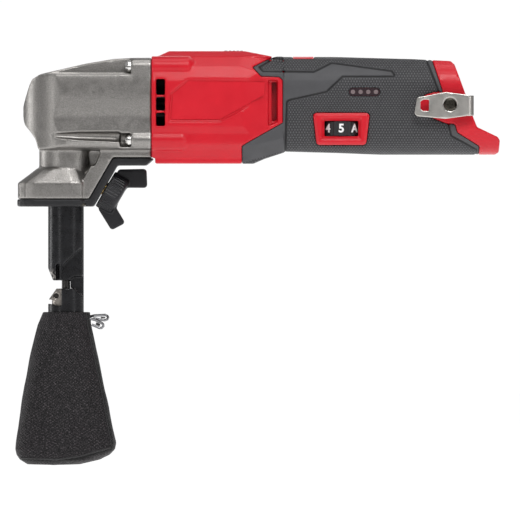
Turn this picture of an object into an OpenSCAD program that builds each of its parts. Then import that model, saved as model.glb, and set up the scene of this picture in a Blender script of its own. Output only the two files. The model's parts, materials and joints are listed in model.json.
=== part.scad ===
// Cordless sheet-metal nibbler with a swivelling die holder and a chip bag.
// Frame: the punch axis is the Z axis and the die's cutting face is z = 0.
// The tool's body runs along +X from the head to the battery foot. Millimetres.

/* [Head] */
// Height of the motor axis above the cutting face
motor_z = 105; // [104.5:0.1:105.5]
// Radius of the cast neck above the base
neck_r = 15.2; // [15:0.1:15.6]
// Distance from the punch axis to the front of the cast base
base_front = 27.2; // [26.5:0.1:28]
// Half the width of the cast base
base_half_w = 19; // [18.5:0.1:20]

/* [Body] */
// Half the width of the motor housing
motor_half_w = 28; // [27.5:0.1:28.5]
// Half the width of the hand grip
grip_half_w = 23; // [22.8:0.1:23.5]
// Wall thickness of the moulded housing
wall = 2.4; // [2.2:0.1:2.6]
// Thickness of the rubber over the housing
rubber_t = 2; // [1.8:0.1:2.2]

/* [Drive] */
// Throw of the crank pin, half of the punch's stroke
crank_throw = 3; // [2.8:0.05:3]
// Module of the planetary gears
gear_module = 0.75; // [0.75:0.01:0.76]

/* [Die] */
// Outer radius of the die holder tube
tube_r = 10.15; // [10:0.05:10.2]
// Height of the throat that takes the sheet
throat_h = 4.6; // [4.4:0.1:4.6]
// Radius of the punch's cutting shoulder
punch_r = 3.2; // [3:0.05:3.2]

/* [Chip bag] */
// Height of the chip bag below its hem
bag_h = 87; // [80:1:90]
// Half the width of the chip bag near its base
bag_half_w = 29; // [26:0.5:30]

/* [Hidden] */
$fn = 48;

far = 60;            // reach of a cutting slab past the object
gap = 0.1;           // radial room in a running fit
slant = 60;          // angle of the arm under the head, from the horizontal
lock_at = [22, 57.1];  // where the lock knob's axis leaves the cover, as [x, z]

// Cast head, side outline from the flange over the nose and down to the neck.
head_outline = [[49, 131.2], [37.4, 131.2], [27.2, 130.6], [11.8, 128], [-3, 124.6],
    [-14, 122], [-19, 119], [-20.8, 115], [-22.8, 108.8], [-24.3, 103.5],
    [-24.3, 97], [-23.2, 93], [-20, 89.2], [-17, 84.8], [-15.4, 79], [49, 79]];
// Half of the head's cross-section, as [y, z] from the top to the bottom.
head_section = [[0, 131.2], [19, 131.2], [24.2, 126], [25.2, 118], [25.6, 110],
    [25.2, 104.5], [24.6, 97], [25, 92], [25.6, 87], [21, 79], [0, 79]];
upper_boss = [19, 125.9];   // screw axes in the cross-section, as [y, z]
lower_boss = [21.5, 84.4];
boss_r = 5.25;
flange_x = 37.4;            // front of the flange that the head's screws clamp
joint_x = 49;               // plane where the head meets the motor housing

// Arm from the base up to the beam under the motor, and the same offset outwards.
arm_outline = [[-4, 51], [13.4, 51], [27, 74.5], [49, 74.5], [49, 80], [20, 80], [10, 62]];
arm_half_w = 16;
cover_outline = [[-29, 46.7], [15.8, 46.7], [29.4, 70.1], [46, 70.1], [50.8, 74.3],
    [27.05, 74.3], [13.5, 50.9], [-29, 50.9]];
cover_edge = 0.35;          // how far the cover stands out past the casting

// Motor housing and grip, side outline.
body_outline = [[49, 131.4], [53.3, 132.4], [58.8, 135.1], [101.9, 135.1], [117.7, 131.9],
    [152, 131.9], [171, 131.3], [198.4, 130.5], [219, 129.4], [221.2, 127.4],
    [227.1, 111.1], [231.9, 96.8], [233.9, 91.8], [245.7, 86.2], [246.9, 84.1],
    [246.4, 77.5], [244.6, 76.3], [178.9, 76.3], [154.7, 77.3], [125.9, 78.1],
    [113.3, 74], [106.8, 71.2], [49, 71.2]];
// Half of the motor housing's cross-section, as [y, z].
motor_section = [[0, 135.1], [12, 135.1], [19, 131.8], [24.6, 126.5],
    [motor_half_w - 0.6, 118], [motor_half_w, 105], [motor_half_w - 0.4, 92],
    [motor_half_w - 1.2, 88], [motor_half_w - 1.2, 82], [23, 78.4], [19.6, 74.2],
    [19.6, 71.2], [0, 71.2]];
grip_z = [76.3, 131.9];     // lowest and highest part of the grip's cross-section
grip_corner = 17;           // radius of the grip's rounded corners
rubber_start = 100;         // where the housing's wall steps in to make room for rubber
motor_end = 99;             // where the housing starts to narrow to the grip
grip_start = 124;           // where the grip's own cross-section starts
grip_full = 300;            // past the foot, so that the side outline ends the grip

// Edge between bare housing and rubber, then the same for the band at the foot.
rubber_front = [[118.8, 140], [118.8, 132.2], [106.2, 125.6], [111.2, 120.4],
    [121.5, 120.1], [123.4, 118.4], [123.4, 94.2], [100.3, 81.1], [100.3, 60]];
rubber_back = [[235.2, 60], [235.2, 81.1], [222.7, 88.7], [220.6, 96.3],
    [214.5, 111.6], [208.6, 129.4], [208.6, 140]];
clip_pad = [[202, 101], [202, 107], [205, 109.6], [209.5, 111], [226, 110], [226, 93.5],
    [216, 94.6], [206, 98.6]];

label_panel = [[69.7, 119.3], [115.1, 118.7], [114.4, 108.9], [88.2, 94.6],
    [58.5, 94.6], [59.8, 111.1]];
front_vent_x = [51.6, 56.6];
front_vent_z = [[110, 119], [101.2, 108.8], [92.3, 99.8]];
rear_vent = [[115.2, 118.4], [120.6, 118.4], [120.6, 94.6], [115.2, 92.2]];

dial_at = [156.8, -11.2, 90.9];
dial_r = 11.3;
dial_h = 8.4;
window_w = 19.4;
window_h = 9;
gauge_at = [169.9, 111.7];  // centre of the fuel gauge, as [x, z]
gauge_w = 17.7;
gauge_h = 4.6;
led_pitch = 4.35;
slide_x = [90, 101];        // thumb slide on top of the motor housing
slide_travel = 6;
slide_half_w = 6;

socket_x = 173;             // floor of the battery socket
socket_y = 17.8;            // half the socket's width
socket_z = [84.5, 123.6];

sun_teeth = 12;
planet_teeth = 18;
ring_teeth = 48;
planet_count = 3;
planet_orbit = gear_module * (sun_teeth + planet_teeth) / 2;
gear_x = [33, 41];          // the gears' faces along the motor axis
ring_r = 20.6;
motor_x = [62, 96];         // the stator's ends
stator_r = 21;
shaft_r = 2.5;

rod_length = 23.5;
wrist_z = motor_z + crank_throw - rod_length;
stroke = 2 * crank_throw;
holder_top = 65.8;
collar_r = 12.5;
collar_z = 52.6;
groove_at = [13.2, 62.18];  // centre of the lock groove's section, as [radius, z]
groove_r = 2.2;
plunger_r = 6;
head_bottom = holder_top + stroke + 0.4;
tube_bottom = -24;
strut_half_w = 2.7;
flat_half_w = 4.5;

hem_z = -13.4;
hem_r = 13.2;
bag_wall = 1.2;
knob_r = 11.4;
knob_ribs = 40;
clip_gap = 5.6;             // room for a belt behind the clip's arm
steel_t = 1.2;

// ---- placing helpers ----
module side_slab(y0, y1) {  // a 2-D outline in x and z, made solid from y0 to y1
    translate([0, y1, 0]) rotate([90, 0, 0]) linear_extrude(y1 - y0) children();
}
module section_slab(x0, x1) {  // a 2-D outline in y and z, made solid from x0 to x1
    translate([x0, 0, 0]) rotate([90, 0, 90]) linear_extrude(x1 - x0) children();
}
module plan_slab(z0, z1) {
    translate([0, 0, z0]) linear_extrude(z1 - z0) children();
}
module along_x(x0, x1, r) {
    translate([x0, 0, 0]) rotate([0, 90, 0]) cylinder(h = x1 - x0, r = r);
}
module on_motor_axis() {
    translate([0, 0, motor_z]) children();
}
module in_lock_frame() {    // local +Z leaves the cover along the lock knob's axis
    translate([lock_at[0], 0, lock_at[1]]) rotate([0, 180 - slant, 0]) children();
}
module both_sides() {
    children();
    mirror([0, 1, 0]) children();
}
function mirrored(half) = concat(half, [for (i = [len(half) - 1:-1:0])
    if (half[i][0] > 0) [-half[i][0], half[i][1]]]);
module rounded(points, r) {
    offset(r = r, $fn = 32) offset(delta = -r) polygon(points);
}
function arc(x, y, r, start, steps) = [for (i = [0:steps])
    let (a = start + 90 * i / steps) [x + r * cos(a), y + r * sin(a)]];
function round_rect(x0, y0, x1, y1, r, steps = 3) = concat(
    arc(x1 - r, y1 - r, r, 0, steps), arc(x0 + r, y1 - r, r, 90, steps),
    arc(x0 + r, y0 + r, r, 180, steps), arc(x1 - r, y0 + r, r, 270, steps));
module tube(h, r_out, r_in) {
    difference() {
        cylinder(h = h, r = r_out);
        translate([0, 0, -1]) cylinder(h = h + 2, r = r_in);
    }
}
module ball_bearing(w, r_out, r_in) {   // races, shields and balls as one bought part
    race = (r_out - r_in) * 0.26;
    mid = (r_out + r_in) / 2;
    tube(w, r_out, r_out - race);
    tube(w, r_in + race, r_in);
    translate([0, 0, w * 0.12]) tube(w * 0.76, r_out - race, r_in + race);
}
module pan_screw(shank, length, head, head_h) {  // head above z = 0, cross recess
    difference() {
        union() {
            translate([0, 0, -length]) cylinder(h = length, r = shank);
            cylinder(h = head_h * 0.55, r = head);
            translate([0, 0, head_h * 0.55])
                cylinder(h = head_h * 0.45, r1 = head, r2 = head * 0.72);
        }
        for (a = [0, 90]) rotate([0, 0, a])
            translate([-head * 0.55, -head * 0.13, head_h * 0.35])
                cube([head * 1.1, head * 0.26, head_h]);
    }
}
function unit(v) = v / norm(v);
function heading(path, i) =
    unit(path[min(i + 1, len(path) - 1)] - path[max(i - 1, 0)]);
module swept_wire(path, r, sides = 10) {
    lean = [0, 0.7, 0.7];   // never parallel to the wire, so every ring has a frame
    points = [for (i = [0:len(path) - 1]) let (t = heading(path, i),
        u = unit(cross(lean, t)), v = cross(t, u)) each [for (k = [0:sides - 1])
            path[i] + r * (cos(k * 360 / sides) * u + sin(k * 360 / sides) * v)]];
    last = (len(path) - 1) * sides;
    polyhedron(points, concat(
        [[for (k = [0:sides - 1]) k]],
        [for (i = [0:len(path) - 2], k = [0:sides - 1]) let (a = i * sides + k,
            b = i * sides + (k + 1) % sides) [a, a + sides, b + sides, b]],
        [[for (k = [sides - 1:-1:0]) last + k]]));
}

// ---- involute gears ----
function degrees(radians) = radians * 180 / PI;
function involute(a) = degrees(tan(a)) - a;
pressure = 25;
function flank(teeth, m, slack, r) =
    let (pitch_r = m * teeth / 2, base_r = pitch_r * cos(pressure),
        half = 90 / teeth - degrees(slack / 2 / pitch_r))
    half + involute(pressure) - involute(acos(min(1, base_r / max(r, base_r))));
module gear_shape(teeth, m, slack, tip, root) {
    pitch_r = m * teeth / 2;
    tip_r = pitch_r + tip * m;
    root_r = pitch_r - root * m;
    radii = [for (i = [0:4]) root_r + (tip_r - root_r) * i / 4];
    polygon([for (k = [0:teeth - 1]) each concat(
        [for (i = [0:4]) let (a = k * 360 / teeth - flank(teeth, m, slack, radii[i]))
            radii[i] * [cos(a), sin(a)]],
        [for (i = [4:-1:0]) let (a = k * 360 / teeth + flank(teeth, m, slack, radii[i]))
            radii[i] * [cos(a), sin(a)]])]);
}

// ---- head ----
module base_plan(edge = 0) {
    polygon(round_rect(-base_front - edge, -base_half_w - edge, 13.3 + edge, base_half_w + edge, 9));
}
module head_plan() {
    translate([1.6, 0]) circle(r = 25.9, $fn = 96);
    translate([1.6, -27]) square([joint_x, 54]);
}
module head_body() {
    intersection() {
        side_slab(-30, 30) polygon(head_outline);
        plan_slab(60, 140) head_plan();
        section_slab(-30, joint_x) union() {
            polygon(mirrored(head_section));
            for (at = [upper_boss, lower_boss], s = [-1, 1])
                translate([s * at[0], at[1]]) circle(r = boss_r);
        }
    }
}
module head_waist() {       // shallow sloping facet low on each cheek of the nose
    both_sides() translate([-28, 23.7, 95.8]) rotate([-14, 0, 3.4]) cube([58, 10, 9.6]);
}
module upper_channel() {    // open step along the head's top edge, up to the upper screws
    both_sides() plan_slab(121.8, 140)
        polygon([[-18, 18.6], [-6, 16.6], [6, 15.1], [flange_x, 14.6], [flange_x, 40], [-18, 40]]);
}
module lower_channel() {    // tapered groove along the cheek, and a seat for the lower screws
    both_sides() {
        hull() for (p = [[-6, 86.9, 25, 1.2], [8, 86.6, 24, 2.3], [31, 86.2, 22.6, 2.9]], out = [0, 12])
            translate([0, p[2] + out, p[1]]) along_x(p[0], p[0] + 0.1, p[3]);
        hull() for (out = [0, 12])
            translate([0, lower_boss[0] + out, lower_boss[1]]) along_x(31, flange_x, 3.85);
    }
}
module head_cavity() {
    on_motor_axis() {
        along_x(42.9, joint_x + 1, 22.2);
        along_x(26.6, 43, ring_r + 0.02);
        along_x(16.9, 27, 14.02);
        along_x(-13, 17, 13.6);
    }
    translate([0, 0, holder_top + 0.2]) cylinder(h = motor_z - holder_top, r = 11.6);
    translate([0, 0, 50]) cylinder(h = holder_top + 0.3 - 50, r = collar_r + gap);
}
module gear_case() {
    color([0.56, 0.55, 0.53]) difference() {
        union() {
            head_body();
            translate([0, 0, 58]) cylinder(h = 38, r = neck_r);
            plan_slab(51, 60) base_plan();
            hull() {            // sloped shoulders from the base up to the neck
                plan_slab(59.8, 60) base_plan();
                plan_slab(68.5, 68.7) polygon(round_rect(-neck_r - 0.6, -neck_r, 10, neck_r, 9));
            }
            side_slab(-arm_half_w, arm_half_w) polygon(arm_outline);
            side_slab(-6.5, 6.5) polygon([[9, 60], [9, 80], [21, 80]]);
        }
        head_waist();
        both_sides() window_pocket();
        upper_channel();
        lower_channel();
        for (at = [upper_boss, lower_boss]) both_sides()
            translate([0, at[0], at[1]]) along_x(30, joint_x + 1, 2.1);
        head_cavity();
        in_lock_frame() translate([0, 0, -14]) cylinder(h = 13, r = 5.52);
        for (p = cover_screw_at) translate([p[0], p[1], 50]) cylinder(h = 7, r = 1.3);
    }
}
cover_screw_at = [for (s = [-1, 1]) each [[-18.5, s * 12.2], [9, s * 13.8]]];
module window_pocket() {    // triangular hollow between the neck and the arm
    side_slab(6.5, 40) offset(r = 1.5, $fn = 24) offset(delta = -1.5)
        polygon([[12.4, 78.6], [20.6, 78.6], [16.6, 69.6], [13.2, 70.6]]);
}
module base_cover() {
    color([0.13, 0.13, 0.14]) difference() {
        intersection() {
            side_slab(-30, 30) polygon(cover_outline);
            plan_slab(40, 80) union() {
                base_plan(cover_edge);
                translate([5, -arm_half_w - cover_edge])
                    square([50, 2 * (arm_half_w + cover_edge)]);
            }
        }
        translate([0, 0, 40]) cylinder(h = 20, r = tube_r + 0.25);
        in_lock_frame() translate([0, 0, -6]) cylinder(h = 12, r = 5.7);
        for (p = cover_screw_at) translate([p[0], p[1], 45]) {
            cylinder(h = 8, r = 1.7);
            cylinder(h = 3.6, r = 3.2);
        }
    }
}
module cover_screws() {
    color([0.3, 0.3, 0.3]) for (p = cover_screw_at)
        translate([p[0], p[1], 48.5]) rotate([180, 0, 0]) pan_screw(1.25, 7, 2.9, 1.6);
}
module gear_case_screws() {
    color([0.75, 0.75, 0.75]) for (at = [upper_boss, lower_boss]) both_sides()
        translate([flange_x - 0.05, at[0], at[1]]) rotate([0, -90, 0])
            pan_screw(2, 26, 3.5, 3.2);
}
module lock_bushing() {
    color([0.6, 0.5, 0.3]) in_lock_frame() difference() {
        union() {
            translate([0, 0, -13.4]) cylinder(h = 13, r = 5.5);
            translate([0, 0, -1]) cylinder(h = 8, r = 3.95);
        }
        translate([0, 0, -20]) cylinder(h = 30, r = 3.1);
        rotate([0, slant - 180, 0]) translate([-lock_at[0], 0, -lock_at[1]])
            translate([0, 0, 40]) cylinder(h = 40, r = collar_r + 0.3);
    }
}
module swivel_washer() {
    color([0.7, 0.7, 0.7]) translate([0, 0, 51.05]) tube(1.4, 12.3, tube_r + 0.3);
}

// ---- lock ----
module lock_knob() {
    collar_h = 8.2;
    color([0.17, 0.17, 0.18]) in_lock_frame() difference() {
        union() {
            translate([0, 0, 0.5]) linear_extrude(collar_h) polygon(
                [for (k = [0:knob_ribs - 1]) each [
                    let (a = k * 360 / knob_ribs) knob_r * [cos(a), sin(a)],
                    let (a = (k + 0.3) * 360 / knob_ribs) knob_r * [cos(a), sin(a)],
                    let (a = (k + 0.5) * 360 / knob_ribs) (knob_r - 0.6) * [cos(a), sin(a)],
                    let (a = (k + 0.8) * 360 / knob_ribs) (knob_r - 0.6) * [cos(a), sin(a)]]]);
            translate([0, 0, collar_h + 0.4]) cylinder(h = 1.3, r = knob_r - 0.3);
            translate([0, 0, collar_h + 1.6]) cylinder(h = 1, r1 = knob_r - 0.3, r2 = knob_r - 1.6);
            knob_wing([[-2, 8], [-13, 0.9], [-21.6, 15.2], [-12.4, 21], [-6.8, 11.2], [-2, 10.6]]);
            knob_wing([[2, 8], [11.5, 1.8], [18.8, 15.4], [11.2, 20.2], [6.4, 11.6], [2, 10.6]]);
        }
        translate([0, 0, -1]) cylinder(h = 8.8, r = 4);
    }
}
module knob_wing(outline) {
    half_t = 2.4;
    translate([0, half_t, 0]) rotate([90, 0, 0]) linear_extrude(2 * half_t) rounded(outline, 1.8);
}
module lock_pin() {
    color([0.7, 0.7, 0.72]) in_lock_frame() {
        translate([0, 0, -8.2]) cylinder(h = 13, r = 3);
        translate([0, 0, -9.6]) cylinder(h = 1.5, r1 = 2.05, r2 = 3);
        translate([0, 0, -(lock_at[0] - groove_at[0]) / sin(slant)]) {
            cylinder(h = 1.2, r = 2.05);
            sphere(r = 2.05);
        }
    }
}

// ---- body shells ----
module grip_section(inset) {
    polygon(round_rect(-grip_half_w + inset, grip_z[0] + inset, grip_half_w - inset,
        grip_z[1] - inset, grip_corner - inset, 8));
}
function plan_outline(inset) = [[joint_x - 1, motor_half_w - inset], [motor_end, motor_half_w - inset],
    [grip_start, grip_half_w - inset], [grip_full, grip_half_w - inset],
    [grip_full, inset - grip_half_w], [grip_start, inset - grip_half_w],
    [motor_end, inset - motor_half_w], [joint_x - 1, inset - motor_half_w]];
module shoulder_cut(turn, start, end, inset) {  // slopes a corner down to the grip's corner
    for (s = [-1, 1]) rotate([s * turn, 0, 0]) side_slab(-80, 80) polygon([
        [motor_end - 1, start - inset], [grip_start + 1, end - inset],
        [grip_start + 1, start + 40], [motor_end - 1, start + 40]]);
}
module body_envelope(inset) {   // the whole outer form, or the same shrunk inwards
    intersection() {
        side_slab(-35, 35) offset(delta = -inset) polygon(body_outline);
        plan_slab(60, 140) polygon(plan_outline(inset));
        union() {
            difference() {
                section_slab(joint_x - 1, grip_start)
                    offset(delta = -inset) polygon(mirrored(motor_section));
                shoulder_cut(45, 107, 103, inset);
                shoulder_cut(135, -36.4, -44.4, inset);
            }
            section_slab(motor_end + 2, grip_full) grip_section(inset);
        }
    }
}
module rubber_zone() {
    difference() {
        polygon(concat(rubber_front, rubber_back));
        offset(r = 0.6, $fn = 24) polygon(clip_pad);
    }
}
module bare_zone() {
    difference() {
        translate([joint_x - 1, 60]) square([grip_full - joint_x, 80]);
        rubber_zone();
    }
}
module housing_form() {     // outer form of the moulding, thinner where rubber covers it
    body_envelope(rubber_t);
    intersection() {
        body_envelope(0);
        side_slab(-far, far) bare_zone();
    }
}
module housing_cavity() {
    difference() {
        union() {
            intersection() {
                body_envelope(wall);
                translate([joint_x + 6, -far, 0]) cube([rubber_start - joint_x - 6, 2 * far, 200]);
            }
            intersection() {
                body_envelope(rubber_t + wall);
                translate([rubber_start - 1, -far, 0])
                    cube([socket_x - 3 - rubber_start, 2 * far, 200]);
            }
        }
        housing_ribs();
    }
    on_motor_axis() along_x(joint_x - 1, joint_x + 7, 22);
    battery_socket();
}
module housing_ribs() {     // webs that carry the stator, the rear bearing and the board
    for (x = [67, 89]) on_motor_axis() difference() {
        translate([x, -far, -far]) cube([2, 2 * far, 2 * far]);
        along_x(x - 1, x + 3, stator_r + 0.05);
        translate([x - 1, -2.4, 15]) cube([4, 4.8, 20]);
    }
    difference() {
        translate([105, -far, 60]) cube([2.4, 2 * far, 80]);
        on_motor_axis() along_x(104, 110, 10.55);
        translate([104, -5.5, 118.9]) cube([5, 11, 11]);
        translate([104, -6.5, 115.9]) cube([5, 15, 3.4]);
    }
    for (x = [129, 140]) translate([x, -far, 60]) cube([2, 2 * far, 40.1]);
    both_sides() translate([113, 13, 60]) cube([10.6, 1.6, 80]);
}
module battery_socket() {
    section_slab(socket_x, grip_full)
        polygon(round_rect(-socket_y, socket_z[0], socket_y, socket_z[1], 8));
    translate([socket_x - 6, -14.1, 87.9]) cube([7, 28.2, 31.2]);
}
module front_vents() {
    for (z = front_vent_z) translate([front_vent_x[0], -far, z[0]])
        cube([front_vent_x[1] - front_vent_x[0], 2 * far, z[1] - z[0]]);
}
module rear_vents() {       // a shallow pocket on each side with a tall slot in its floor
    both_sides() {
        side_slab(21, far) polygon(rear_vent);
        side_slab(15, far) polygon([[117.4, 117.2], [120.1, 117.2], [120.1, 95.8], [117.4, 94.8]]);
    }
}
module housing(side) {      // side = -1 is the left half, 1 the right half
    difference() {
        union() {
            intersection() {
                difference() {
                    union() {
                        housing_form();
                        side_rail();
                    }
                    housing_cavity();
                }
                translate([0, side > 0 ? 0.02 : -far - 0.02, 0]) cube([300, far, 200]);
            }
            for (at = [upper_boss, lower_boss]) translate([0, side * at[0], at[1]])
                along_x(joint_x, joint_x + 19, 4.6);
            housing_bosses(side);
        }
        for (at = [upper_boss, lower_boss]) translate([0, side * at[0], at[1]])
            along_x(joint_x - 1, joint_x + 16, 2.1);
        front_vents();
        rear_vents();
        side_slab(side > 0 ? motor_half_w - 1.3 : -far, side > 0 ? far : 1.3 - motor_half_w)
            polygon(label_panel);
        power_slot();
        translate([joint_x - 1, -far, 60]) cube([3, 2 * far, 14.45]);
        if (side < 0) left_openings(0);
        if (side > 0) for (p = housing_screw_at)
            translate([p[0], 0, p[1]]) rotate([-90, 0, 0]) {
                cylinder(h = far, r = 1.75);
                translate([0, 0, p[2]]) cylinder(h = far, r = 3.3);
            }
        if (side < 0) for (p = housing_screw_at)
            translate([p[0], -10, p[1]]) rotate([-90, 0, 0]) cylinder(h = far, r = 1.4);
        if (side < 0) translate([218.5, -far, 104.5]) rotate([-90, 0, 0])
            cylinder(h = far - 14, r = 1.6);
    }
}
// Screws through the right half into the left one, as [x, z, depth of the head's seat].
housing_screw_at = [[80, 76.2, 14], [80, 130, 12], [131, 83.5, 13.4], [131, 124.8, 13.4],
    [164, 83.5, 13.4], [164, 124.8, 13.4]];
module housing_bosses(side) {
    for (p = housing_screw_at)
        translate([p[0], 0.02 * side, p[1]]) rotate([-90 * side, 0, 0])
            cylinder(h = side > 0 ? p[2] : 11, r = 3);
}
module side_rail() {        // screw bosses that run back from the head and slope off
    both_sides() {
        translate([0, upper_boss[0] + 0.9, upper_boss[1]]) rail(70.2, 73.8, boss_r + 0.9);
        translate([0, lower_boss[0] + 0.2, lower_boss[1]]) rail(66.8, 72.2, boss_r + 0.95);
    }
}
module rail(straight, end, r) {
    along_x(joint_x, straight, r);
    translate([straight - 0.01, 0, 0]) rotate([0, 90, 0])
        cylinder(h = end - straight, r1 = r, r2 = r - 2.6);
}
module power_slot() {
    translate([slide_x[0] - slide_travel - 1, -slide_half_w - 0.4, 133.4])
        cube([slide_x[1] - slide_x[0] + slide_travel + 2, 2 * slide_half_w + 0.8, 10]);
    translate([slide_x[0] + 3 - slide_travel - 0.4, -2.2, 126.6])
        cube([5 + slide_travel + 0.8, 4.4, 10]);
}
module left_openings(extra) {
    translate([dial_at[0] - window_w / 2 - 0.4 - extra, -far, dial_at[2] - window_h / 2 - extra])
        cube([window_w + 0.8 + 2 * extra, far - 14, window_h + 2 * extra]);
    side_slab(-far, -grip_half_w + 5) gauge_shape(extra);
}
module housing_left() {
    color([0.82, 0.1, 0.14]) housing(-1);
}
module housing_right() {
    color([0.82, 0.1, 0.14]) housing(1);
}
module grip(side) {
    color([0.3, 0.3, 0.31]) difference() {
        intersection() {
            body_envelope(0);
            side_slab(-far, far) offset(delta = -0.1) rubber_zone();
            translate([0, side > 0 ? 0.02 : -far - 0.02, 0]) cube([300, far, 200]);
        }
        body_envelope(rubber_t - 0.02);
        if (side < 0) {
            left_openings(0.1);
            side_slab(-far, -10) bezel_shape(0.1);
        }
        if (side > 0) for (p = housing_screw_at)
            translate([p[0], 0, p[1]]) rotate([-90, 0, 0]) cylinder(h = far, r = 3.4);
        badge_seat(0.1);
        side_slab(-far, far) polygon(rear_vent);
    }
}
module grip_left() {
    grip(-1);
}
module grip_right() {
    grip(1);
}
module badge_seat(extra) {
    translate([129.4 - extra, -12 - extra, 130.6]) cube([11.6 + 2 * extra, 24 + 2 * extra, 10]);
}
module grip_badge() {       // thin plate let into the top of the grip
    color([0.82, 0.1, 0.14]) intersection() {
        body_envelope(-0.15);
        badge_seat(0);
    }
}
module side_badge() {       // blank name plates in the recesses on both sides
    color([0.85, 0.12, 0.16]) both_sides()
        side_slab(motor_half_w - 1.25, motor_half_w - 0.75) offset(delta = -1.6) polygon(label_panel);
}
module bezel_shape(extra) {
    offset(r = 2 + extra, $fn = 24) offset(delta = -2) polygon([
        [dial_at[0] - 16.2, 99.8], [dial_at[0] + 16.2, 99.8],
        [dial_at[0] + 14, 81.6], [dial_at[0] - 14, 81.6]]);
}
module dial_bezel() {
    color([0.82, 0.1, 0.14]) difference() {
        intersection() {
            side_slab(-grip_half_w - 1.1, -grip_half_w + 2) bezel_shape(0);
            union() {
                side_slab(-grip_half_w - 0.5, 0) bezel_shape(0);
                side_slab(-grip_half_w - 1.1, 0) bezel_shape(-1);
            }
        }
        side_slab(-far, 0) square_at(window_w - 0.4, window_h - 0.4);
        hull() {
            side_slab(-grip_half_w - 1.3, -grip_half_w - 1.2) square_at(window_w + 4, window_h + 4);
            side_slab(-grip_half_w + 1, -grip_half_w + 1.1) square_at(window_w - 0.4, window_h - 0.4);
        }
        body_envelope(rubber_t);
    }
}
module square_at(w, h) {
    translate([dial_at[0] - w / 2, dial_at[2] - h / 2]) square([w, h]);
}
module speed_dial() {
    color([0.15, 0.15, 0.16]) translate([dial_at[0], dial_at[1], dial_at[2] - dial_h / 2])
        difference() {
            cylinder(h = dial_h, r = dial_r, $fn = 96);
            translate([0, 0, -1]) cylinder(h = dial_h + 2, r = 2.1);
            for (k = [0:23]) rotate([0, 0, 3.75 + k * 15]) translate([dial_r + 0.45, 0, -1])
                cylinder(h = dial_h + 2, r = 0.8, $fn = 16);
        }
}
module dial_axle() {
    color([0.7, 0.7, 0.72]) translate([dial_at[0], dial_at[1], 83.2]) {
        cylinder(h = 16, r = 2);
        translate([0, 0, 12.4]) cylinder(h = 4.6, r = 5);
    }
}
module gauge_shape(extra) {
    hull() for (s = [-1, 1]) translate([gauge_at[0] + s * (gauge_w - gauge_h) / 2, gauge_at[1]])
        circle(r = gauge_h / 2 + extra);
}
module gauge_window() {
    color([0.2, 0.15, 0.16]) side_slab(-grip_half_w + 0.5, -grip_half_w + 1.9) gauge_shape(-0.1);
}
module gauge_leds() {
    color([0.5, 0.45, 0.45]) for (k = [-1.5:1.5])
        translate([gauge_at[0] + k * led_pitch, -grip_half_w + 0.5, gauge_at[1]])
            rotate([90, 0, 0]) cylinder(h = 0.4, r = 1.25);
}
module circuit_board() {
    color([0.1, 0.35, 0.2]) {
        translate([126, -6, 100.2]) difference() {
            union() {
                cube([24, 22, 1.6]);
                translate([23, -10, 0]) cube([14, 12, 1.6]);
            }
            translate([12, 11, -1]) cylinder(h = 4, r = 1.5);
        }
        for (x = [129, 135, 141]) translate([x, -3, 101.8]) cube([4, 5, 3]);
        for (y = [6, 12]) translate([134, y, 101.8]) cylinder(h = 9, r = 2.6);
    }
}
module terminal_block() {
    color([0.12, 0.12, 0.13]) difference() {
        translate([168.4, -14, 88]) cube([4.4, 28, 31]);
        for (z = [96, 104, 112]) translate([160, -4.6, z - 0.55]) cube([20, 9.2, 1.1]);
    }
}
module terminal_contacts() {
    color([0.8, 0.62, 0.3]) for (z = [96, 104, 112])
        translate([165, -4.5, z - 0.5]) cube([16, 9, 1]);
}
module switch_body() {
    color([0.15, 0.15, 0.16]) translate([100.5, -5.4, 119]) cube([15, 10.8, 6.4]);
}
module power_slide() {
    color([0.2, 0.2, 0.21]) {
        difference() {
            translate([slide_x[0], -slide_half_w, 133.6])
                cube([slide_x[1] - slide_x[0], 2 * slide_half_w, 1.9]);
            for (k = [0:5]) translate([slide_x[0] + 2.5 + k * 2.2, -slide_half_w - 1, 135.7])
                rotate([-90, 0, 0]) cylinder(h = 2 * slide_half_w + 2, r = 0.5, $fn = 16);
        }
        translate([slide_x[0] + 3, -1.8, 127]) cube([5, 3.6, 6.8]);
        translate([slide_x[0] + 3, -1.8, 127]) cube([15, 3.6, 1.6]);
    }
}
module housing_screws() {
    color([0.25, 0.25, 0.26]) for (p = housing_screw_at)
        translate([p[0], p[2] + 0.02, p[1]]) rotate([-90, 0, 0])
            pan_screw(1.35, min(2 * p[2] - 6, 24), 3, 2);
}
module belt_clip() {        // spring strip folded back on itself round the foot
    arm_shape = [[198.2, 99.3], [199.6, 108.4], [215.8, 111.5], [226.8, 110.2],
        [228.4, 109.6], [228.4, 98], [215.8, 96.3], [199.6, 97.8]];
    arm_y = -grip_half_w - clip_gap - steel_t;
    color([0.72, 0.7, 0.67]) difference() {
        union() {
            side_slab(arm_y - steel_t / 2, arm_y + steel_t / 2) rounded(arm_shape, 1.4);
            side_slab(-grip_half_w - steel_t, -grip_half_w)
                rounded([[209, 99], [209, 110], [228.4, 109.6], [228.4, 98]], 1.2);
            translate([228.2, (arm_y - grip_half_w) / 2 - steel_t / 4, 98]) rotate([0, 0, -90])
                rotate_extrude(angle = 180) translate([clip_gap / 2 - steel_t / 4, 0])
                    square([steel_t, 11.6]);
        }
        translate([218.5, -far, 104.5]) rotate([-90, 0, 0])
            cylinder(h = far - grip_half_w - clip_gap / 2, r = 3.9);
        translate([218.5, -far, 104.5]) rotate([-90, 0, 0]) cylinder(h = far, r = 1.7);
        side_slab(-far, -grip_half_w - clip_gap / 2)
            polygon([[201.6, 102], [201.6, 106], [203.2, 107.2],
                [206.4, 107.2], [206.4, 100.8], [203.2, 100.8]]);
    }
}
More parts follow.
